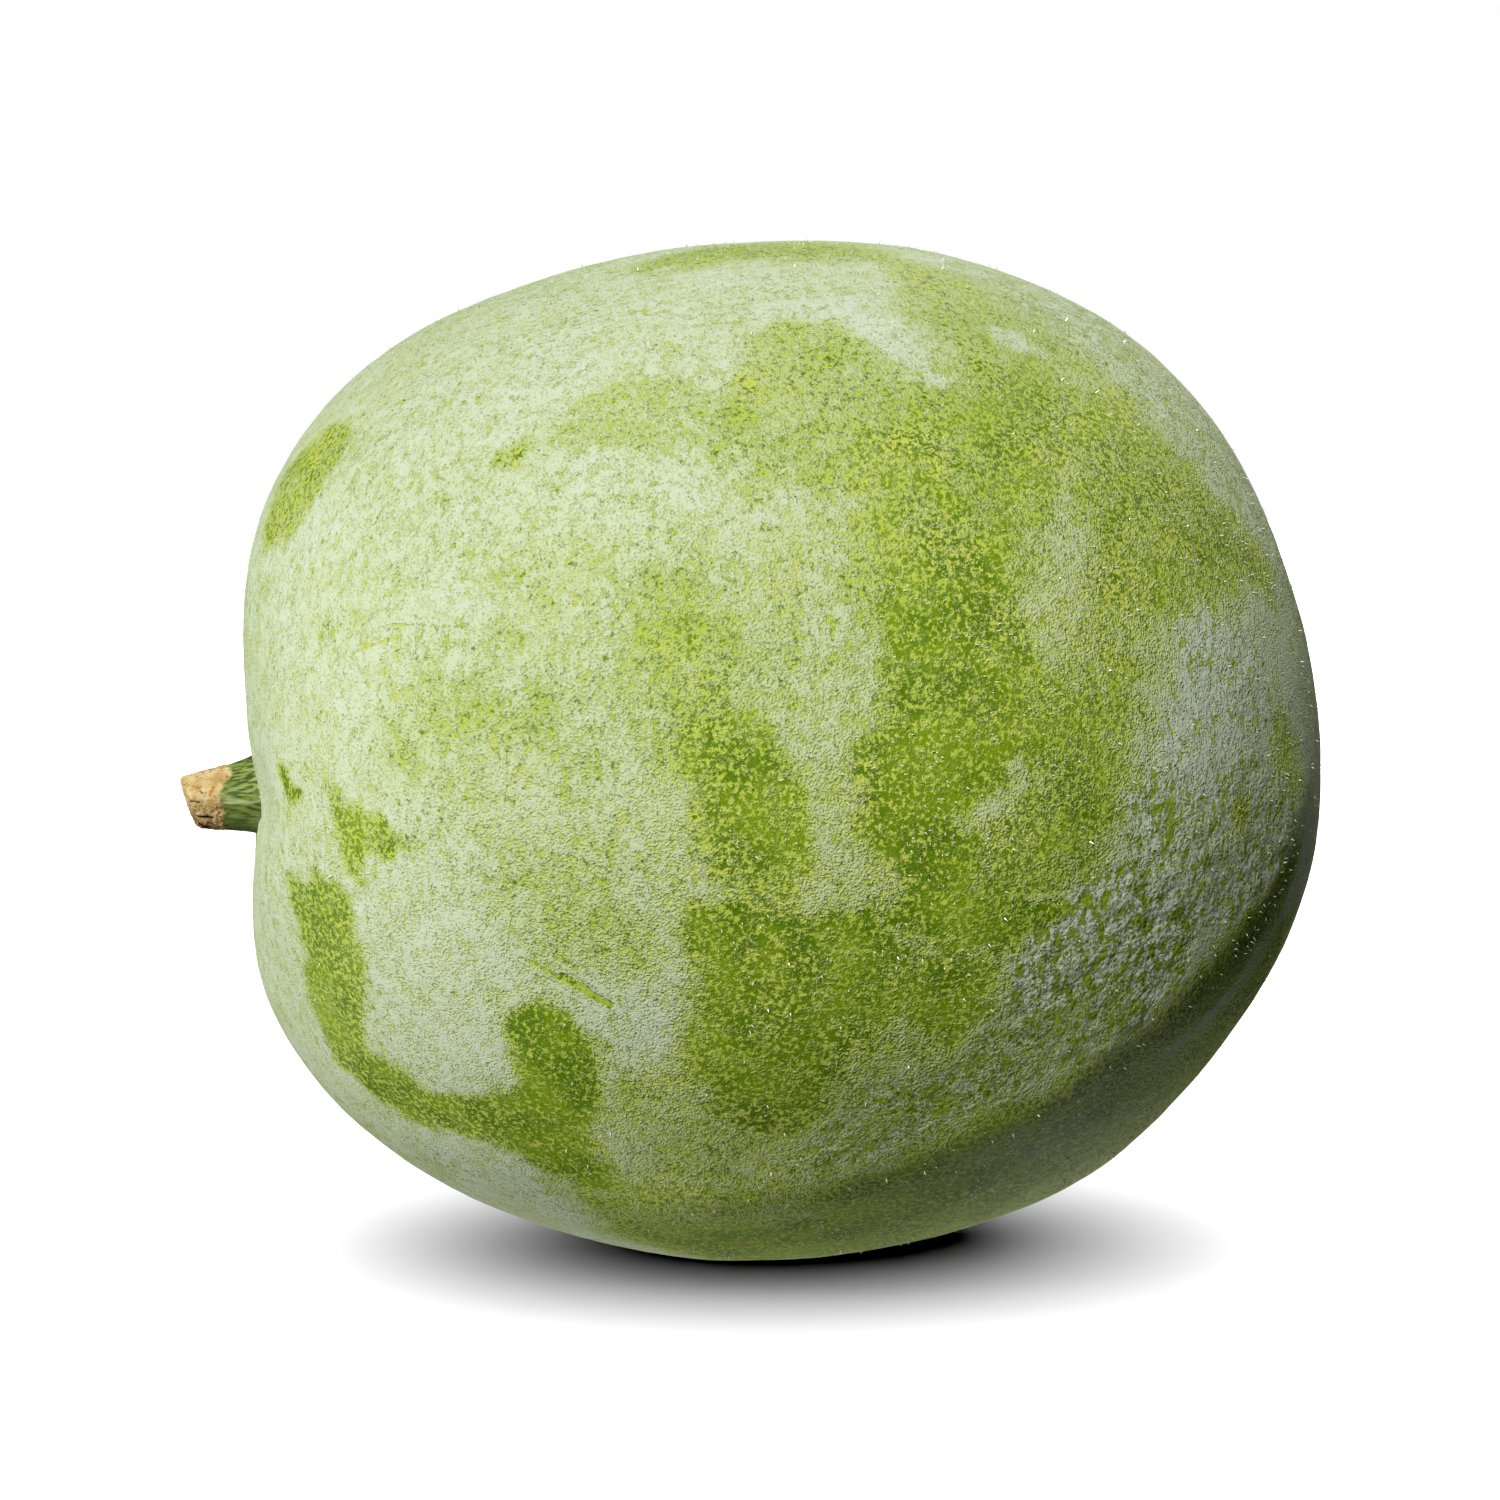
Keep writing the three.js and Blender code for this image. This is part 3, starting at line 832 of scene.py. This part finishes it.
class Shader:
    """One material, and short calls that add nodes to it and join them up."""

    def __init__(self, name):
        self.material = bpy.data.materials.new(name)
        self.material.use_nodes = True
        self.nodes = self.material.node_tree.nodes
        self.links = self.material.node_tree.links
        self.surface = self.nodes["Principled BSDF"]
        self.place = self.nodes.new("ShaderNodeTexCoord").outputs["Object"]

    def feed(self, socket, value):
        if isinstance(value, bpy.types.NodeSocket):
            self.links.new(value, socket)
        else:
            socket.default_value = value

    def add(self, kind, values, **settings):
        node = self.nodes.new("ShaderNode" + kind)
        for name, setting in settings.items():
            setattr(node, name, setting)
        for socket, value in values.items():
            self.feed(node.inputs[socket], value)
        return node

    def maths(self, operation, *values, clamp=False):
        node = self.add("Math", dict(enumerate(values)), operation=operation, use_clamp=clamp)
        return node.outputs[0]

    def vector(self, operation, *values, output="Vector"):
        return self.add("VectorMath", dict(enumerate(values)), operation=operation).outputs[output]

    def noise(self, size, detail=2.0, roughness=0.5, place=None, seed=0):
        """Noise from 0 to 1 with bumps about `size` metres wide."""
        shift = tuple(seed * step for step in NOISE_SHIFT)
        place = self.vector("ADD", place or self.place, shift)
        values = {"Vector": place, "Scale": 1.0 / size, "Detail": detail, "Roughness": roughness}
        return self.add("TexNoise", values).outputs["Fac"]

    def cells(self, size, warp):
        """Distance from the middle of rounded cells about `size` metres wide, 0 to about 1."""
        sway = self.add("TexNoise", {"Vector": self.place, "Scale": KNOB_SWAY_SCALE / size}).outputs["Color"]
        place = self.vector("ADD", self.place, self.vector("MULTIPLY", sway, (warp, warp, warp)))
        values = {"Vector": place, "Scale": 1.0 / size}
        return self.add("TexVoronoi", values).outputs["Distance"]

    def centred(self, value, span):
        """A value from 0 to 1 as one between -span / 2 and span / 2."""
        return self.maths("MULTIPLY_ADD", value, span, -0.5 * span)

    def attribute(self, name):
        return self.add("Attribute", {}, attribute_name=name).outputs["Fac"]

    def step(self, value, low, high):
        """0 below low, 1 above high, and smooth between."""
        ends = {"Value": value, "From Min": low, "From Max": high}
        return self.add("MapRange", ends, interpolation_type="SMOOTHSTEP").outputs["Result"]

    def patches(self, size, low, high, **more):
        """Noise as patches: 0 where it is below low, 1 where it is above high."""
        return self.step(self.noise(size, **more), low, high)

    def between(self, share, low, high):
        """A number that goes from low to high as the share goes from 0 to 1."""
        return self.maths("MULTIPLY_ADD", share, high - low, low)

    def mix(self, share, first, second):
        values = {0: share, 6: first, 7: second}
        return self.add("Mix", values, data_type="RGBA").outputs[2]

    def near(self, start, end, width):
        """1 on the line between two points, and 0 farther than `width` metres from it."""
        run = Vector(end) - Vector(start)
        offset = self.vector("SUBTRACT", self.place, Vector(start))
        along = self.vector("DOT_PRODUCT", offset, run / run.length_squared, output="Value")
        share = self.maths("MULTIPLY", along, 1.0, clamp=True)
        nearest = self.add("VectorMath", {0: run, "Scale": share}, operation="SCALE").outputs[0]
        gap = self.vector("LENGTH", self.vector("SUBTRACT", offset, nearest), output="Value")
        return self.step(gap, width, SCRATCH_CORE * width)

    def disc(self, middle, radius):
        """1 at a point, and 0 farther than `radius` metres from it."""
        gap = self.vector("DISTANCE", self.place, Vector(middle), output="Value")
        return self.step(gap, radius, SPOT_CORE * radius)

    def bump(self, height, distance):
        node = self.add("Bump", {"Height": height, "Distance": distance})
        self.links.new(node.outputs["Normal"], self.surface.inputs["Normal"])

    def set(self, **values):
        for name, value in values.items():
            self.feed(self.surface.inputs[name.replace("_", " ")], value)


def on_skin(polar, around):
    """The point of the skin at these angles, in degrees."""
    towards = direction(math.radians(polar), math.radians(around))
    return HEART + skin_distance(towards) * towards


def bare_rind(rind, bloom, crust):
    """The rind's own colour: two greens, with pale flecks that are fainter under crust."""
    green = rind.mix(rind.patches(*RIND_SHADES), RIND_DARK, RIND_GREEN)
    fleck = rind.mix(rind.patches(*RIND_RIPENESS, seed=1), FLECK_GREEN, FLECK_YELLOW)
    speckles = rind.noise(FLECK_SIZE, detail=4.0, roughness=0.62)
    raised = rind.maths("ADD", speckles, rind.between(bloom, *FLECK_LEVEL))
    flecks = rind.step(raised, 0.0, FLECK_EDGE)
    seen = rind.maths("MULTIPLY", flecks, rind.between(crust, *FLECKS_SEEN))
    return rind.mix(seen, green, fleck)


def scratched_bloom(rind, bloom):
    """The bloom's thickness, where scratches take some off or leave some standing."""
    for start, end, width, amount in SCRATCHES:
        line = rind.near(on_skin(*start), on_skin(*end), width * MM)
        bloom = rind.maths("MULTIPLY_ADD", line, amount, bloom)
    return bloom


def bloom_cover(rind, bloom, crust, mottle):
    """How well the bloom hides the rind: mottled where it is half worn, pitted where crusty."""
    half_worn = rind.maths("MULTIPLY", bloom, rind.maths("SUBTRACT", 1.0, bloom))
    mottling = rind.maths("MULTIPLY_ADD", half_worn, MOTTLE_RISE, MOTTLE_REST)
    tall = rind.vector("MULTIPLY", rind.place, TALL)
    grit = rind.noise(GRIT_SIZE, detail=5.0, roughness=0.7, place=tall)
    coarse = rind.maths("MULTIPLY", rind.centred(grit, 1.0), rind.between(crust, *GRIT_STRENGTH))
    powder = rind.noise(POWDER_SIZE, detail=1.0, seed=2)
    fine = rind.maths("MULTIPLY", rind.centred(powder, 1.0), rind.between(crust, *POWDER_STRENGTH))
    speckle = rind.maths("MULTIPLY_ADD", mottle, mottling, rind.maths("ADD", coarse, fine))
    pits = rind.noise(PIT_SIZE, detail=4.0, roughness=0.6, place=tall, seed=3)
    below = rind.maths("SUBTRACT", rind.between(crust, *PITS_BELOW), pits)
    pitted = rind.step(below, 0.0, PIT_EDGE)
    speckled = rind.maths("ADD", scratched_bloom(rind, bloom), speckle)
    thickness = rind.maths("MULTIPLY_ADD", pitted, rind.between(crust, *PIT_DEPTH), speckled)
    starts = rind.between(crust, *COVER_STARTS)
    return rind.step(thickness, starts, rind.between(crust, *COVER_FULL))


def brown_spots(rind, mottle):
    """Where the skin is brown, with ragged edges."""
    brown = 0.0
    for middle, radius, strength in SPOTS:
        spot = rind.disc(on_skin(*middle), radius * MM)
        brown = rind.maths("MULTIPLY_ADD", spot, strength, brown)
    ragged = rind.maths("MULTIPLY_ADD", mottle, SPOT_RAGGEDNESS, brown)
    return rind.step(ragged, *SPOT_EDGE)


def rind_material():
    rind = Shader("rind")
    bloom = rind.attribute("bloom")
    crust = rind.attribute("crust")
    mottle = rind.centred(rind.noise(MOTTLE_SIZE, detail=5.0, roughness=0.65, seed=5), 1.0)
    cover = bloom_cover(rind, bloom, crust, mottle)
    powder = rind.mix(rind.maths("POWER", bloom, HAZE_POWER), HAZE_COLOUR, BLOOM_COLOUR)
    coat = rind.mix(cover, bare_rind(rind, bloom, crust), powder)
    coat = rind.mix(brown_spots(rind, mottle), coat, SPOT_BROWN)
    knobs = rind.cells(KNOB_SIZE, warp=KNOB_WARP)
    lumps = rind.maths("MULTIPLY", knobs, rind.between(crust, *KNOB_HEIGHT))
    grain_size, grain_height = RIND_GRAIN
    grain = rind.centred(rind.noise(grain_size, detail=4.0, roughness=0.7, seed=4), grain_height)
    rind.bump(rind.maths("ADD", rind.maths("ADD", cover, lumps), grain), RIND_BUMP)
    rind.set(Base_Color=coat, Roughness=rind.between(cover, *RIND_ROUGHNESS))
    rind.set(Specular_IOR_Level=0.05)
    return rind.material


def bristle_material():
    bristle = Shader("bristle")
    tint = bristle.patches(*BRISTLE_TINTS)
    bristle.set(Base_Color=bristle.mix(tint, BRISTLE_GREEN, BRISTLE_WHITE), Roughness=0.25)
    bristle.set(Specular_IOR_Level=1.0)
    return bristle.material


def stalk_green(stalk, dust, painted_shade_below):
    """The stalk near the fruit: streaked green, with painted shade darkening it below, and bloom on its
    foot.
    """
    long = stalk.vector("MULTIPLY", stalk.place, STREAK_STRETCH)
    green = stalk.mix(stalk.patches(*STALK_STREAKS, place=long), STALK_DARK, STALK_GREEN)
    green = stalk.mix(stalk.patches(*STALK_PALE_PATCHES, place=long, seed=5), green, STALK_PALE)
    green = stalk.mix(stalk.maths("MULTIPLY", painted_shade_below, PAINTED_SHADE_ON_GREEN), green, STALK_DARK)
    specks = stalk.patches(*DUST_SPECKS, detail=3.0, seed=6)
    green = stalk.mix(stalk.maths("MULTIPLY", dust, specks), green, BLOOM_COLOUR)
    return stalk.mix(stalk.step(dust, *DUST_THICK), green, BLOOM_COLOUR)


def stalk_cork(stalk, crack, painted_shade_below):
    """The stalk towards its cut: cream and tan cork, with rust, dark stains and cracks; painted shade below
    adds to the stains.
    """
    brown = stalk.mix(stalk.patches(*CORK_PATCHES, detail=3.0, seed=7), CORK_CREAM, CORK_TAN)
    brown = stalk.mix(stalk.patches(*CORK_RUST_PATCHES, detail=3.0, seed=8), brown, CORK_RUST)
    stains = stalk.noise(STAIN_SIZE, detail=4.0, roughness=0.7, seed=9)
    stained = stalk.step(stalk.maths("MULTIPLY_ADD", painted_shade_below, PAINTED_SHADE_ON_STAINS, stains), *STAIN_EDGE)
    return stalk.mix(crack, stalk.mix(stained, brown, CORK_DARK), CRACK_DARK)


def stalk_material():
    stalk = Shader("stalk")
    cork = stalk.attribute("cork")
    painted_shade_below = stalk.attribute("painted_shade_below")
    green = stalk_green(stalk, stalk.attribute("dust"), painted_shade_below)
    brown = stalk_cork(stalk, stalk.attribute("crack"), painted_shade_below)
    fibres = stalk.vector("MULTIPLY", stalk.place, FIBRE_STRETCH)
    grain = stalk.noise(FIBRE_SIZE, detail=4.0, roughness=0.65, place=fibres)
    stalk.bump(grain, FIBRE_BUMP)
    roughness = stalk.between(cork, *STALK_ROUGHNESS)
    stalk.set(Base_Color=stalk.mix(cork, green, brown), Roughness=roughness)
    stalk.set(Specular_IOR_Level=0.3)
    return stalk.material


# -------------------------------- floor and light

# The lights on the gourd: where each comes from, its strength and its spread in degrees.
GOURD_LIGHTS = {
    "key": ((-0.33, -0.72, 0.61), 3.95, 16),
    "low_left": ((-0.82, 0.34, -0.46), 1.75, 24),
    "right": ((0.42, 0.72, 0.55), 1.8, 40),
    "back": ((0.2, 0.74, -0.64), 0.35, 44),
    "left": ((-0.8, -0.4, -0.43), 0.65, 52),
}
# A small lamp below the blossom end, like the light that a bright table throws back.
BOUNCE_PLACE = Vector((160, 50, -100)) * MM
BOUNCE_WIDTH = 120 * MM
BOUNCE_POWER = 0.12  # watts
# The light on the floor, given as the others are. It draws the gourd's soft shadow.
FLOOR_LIGHT = ((-0.13, -0.1, 1.0), 7.6, 128)
FLOOR_RADIUS = 6.0
FLOOR_COLOUR = (0.9, 0.9, 0.9, 1)


def add_light(light, source, lit):
    """A light turned to shine from `source`, which falls only on the objects of one collection."""
    made = bpy.data.objects.new(light.name, light)
    made.rotation_euler = Vector(source).to_track_quat("Z", "Y").to_euler()
    made.light_linking.receiver_collection = lit
    made.visible_camera = False
    bpy.context.collection.objects.link(made)
    return made


def add_sun(name, source, strength, spread, lit):
    """A soft light from far away."""
    sun = bpy.data.lights.new(name, "SUN")
    sun.energy = strength
    sun.angle = math.radians(spread)
    sun.cycles.use_multiple_importance_sampling = False
    add_light(sun, source, lit)


def add_bounce(lit):
    bounce = bpy.data.lights.new("bounce", "AREA")
    bounce.shape = "DISK"
    bounce.size = BOUNCE_WIDTH
    bounce.energy = BOUNCE_POWER
    add_light(bounce, BOUNCE_PLACE - Vector(HEART), lit).location = BOUNCE_PLACE


def collection_of(name, objects):
    made = bpy.data.collections.new(name)
    bpy.context.scene.collection.children.link(made)
    for each in objects:
        made.objects.link(each)
    return made


def build_floor():
    disc = bmesh.new()
    bmesh.ops.create_circle(disc, cap_ends=True, segments=96, radius=FLOOR_RADIUS)
    mesh = bpy.data.meshes.new("floor")
    disc.to_mesh(mesh)
    disc.free()
    floor = bpy.data.objects.new("floor", mesh)
    paint = Shader("floor")
    paint.set(Base_Color=FLOOR_COLOUR, Roughness=1.0, Specular_IOR_Level=0.0)
    mesh.materials.append(paint.material)
    floor.visible_diffuse = False
    floor.visible_glossy = False
    floor.visible_shadow = False
    return floor


def add_backdrop():
    """A white surrounding that only the camera sees."""
    world = bpy.data.worlds.new("backdrop")
    bpy.context.scene.world = world
    world.use_nodes = True
    world.node_tree.nodes["Background"].inputs["Color"].default_value = (1, 1, 1, 1)
    for ray in ("diffuse", "glossy", "transmission", "scatter"):
        setattr(world.cycles_visibility, ray, False)


# -------------------------------- the scene

add_camera()
skin = build_skin(rind_material())
bristles = build_bristles(skin, bristle_material())
gourd = collection_of("gourd", [skin, bristles, build_stalk(stalk_material())])
ground = collection_of("ground", [build_floor()])
for name, settings in GOURD_LIGHTS.items():
    add_sun(name, *settings, lit=gourd)
add_bounce(lit=gourd)
add_sun("floor_light", *FLOOR_LIGHT, lit=ground)
add_backdrop()
bpy.context.scene.view_settings.view_transform = "Standard"
